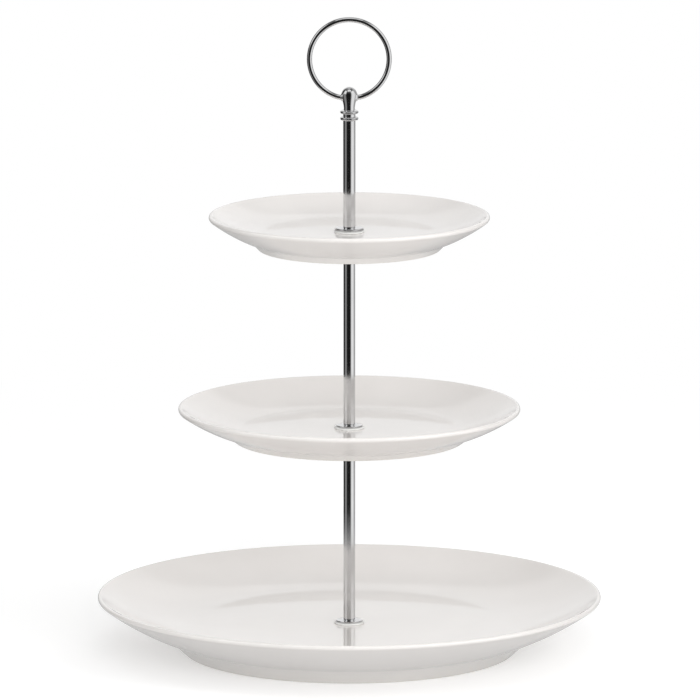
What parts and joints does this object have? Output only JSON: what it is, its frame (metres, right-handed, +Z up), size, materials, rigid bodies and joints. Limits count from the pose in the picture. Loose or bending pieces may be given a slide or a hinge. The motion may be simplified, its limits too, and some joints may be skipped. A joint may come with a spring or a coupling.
{
  "type": "tiered cake stand",
  "caption": "Tiered cake stand: round porcelain coupe plates clamped on a screwed chrome column, with a swinging lifting ring on a beaded finial.",
  "frame": {"origin": "on the table plane, on the axis of the column, under the bottom plate's foot ring", "axes": "+Z up along the column; the ring's pivot pins lie along X, so the raised ring stands in the XZ plane"},
  "size_m": [0.27, 0.27, 0.343],
  "materials": {
    "porcelain": "high-gloss clear glaze on white porcelain, bare on the foot ring",
    "chrome": "polished chrome plate",
    "steel": "bright zinc-plated steel",
    "gasket": "matt translucent white silicone"
  },
  "bodies": {
    "base": {"bottom_plate": "porcelain", "base_screw": "steel", "base_washer": "steel", "base_gasket": "gasket"},
    "bottom_seat": {"bottom_flange": "chrome", "bottom_gasket": "gasket"},
    "middle_tier": {"lower_rod": "chrome", "lower_stud": "steel", "middle_under_washer": "steel", "middle_under_gasket": "gasket", "middle_plate": "porcelain"},
    "middle_seat": {"middle_flange": "chrome", "middle_gasket": "gasket"},
    "top_tier": {"upper_rod": "chrome", "upper_stud": "steel", "top_under_washer": "steel", "top_under_gasket": "gasket", "top_plate": "porcelain"},
    "top_seat": {"top_flange": "chrome", "top_gasket": "gasket"},
    "handle": {"handle_rod": "chrome", "finial": "chrome"},
    "ring": {"handle_ring": "chrome"}
  },
  "joints": [
    {"name": "bottom_seat_lift", "type": "slide", "parent": "base", "child": "bottom_seat", "axis": [0, 0, 1], "range_m": [0, 0.0084]},
    {"name": "lower_rod_unscrew", "type": "hinge", "parent": "bottom_seat", "child": "middle_tier", "pos_m": [0, 0, 0.0165], "axis": [0, 0, 1], "range_deg": [0, 4320]},
    {"name": "middle_seat_lift", "type": "slide", "parent": "middle_tier", "child": "middle_seat", "axis": [0, 0, 1], "range_m": [0, 0.0084]},
    {"name": "upper_rod_unscrew", "type": "hinge", "parent": "middle_seat", "child": "top_tier", "pos_m": [0, 0, 0.1231], "axis": [0, 0, 1], "range_deg": [0, 4320]},
    {"name": "top_seat_lift", "type": "slide", "parent": "top_tier", "child": "top_seat", "axis": [0, 0, 1], "range_m": [0, 0.0084]},
    {"name": "handle_unscrew", "type": "hinge", "parent": "top_seat", "child": "handle", "pos_m": [0, 0, 0.23], "axis": [0, 0, 1], "range_deg": [0, 4320]},
    {"name": "ring_swing", "type": "hinge", "parent": "handle", "child": "ring", "pos_m": [0, 0, 0.2999], "axis": [1, 0, 0], "range_deg": [-173, 173]}
  ],
  "couplings": [
    {"joint": "bottom_seat_lift", "follows": "lower_rod_unscrew", "m_per_rad": 0.00011141},
    {"joint": "middle_seat_lift", "follows": "upper_rod_unscrew", "m_per_rad": 0.00011141},
    {"joint": "top_seat_lift", "follows": "handle_unscrew", "m_per_rad": 0.00011141}
  ]
}
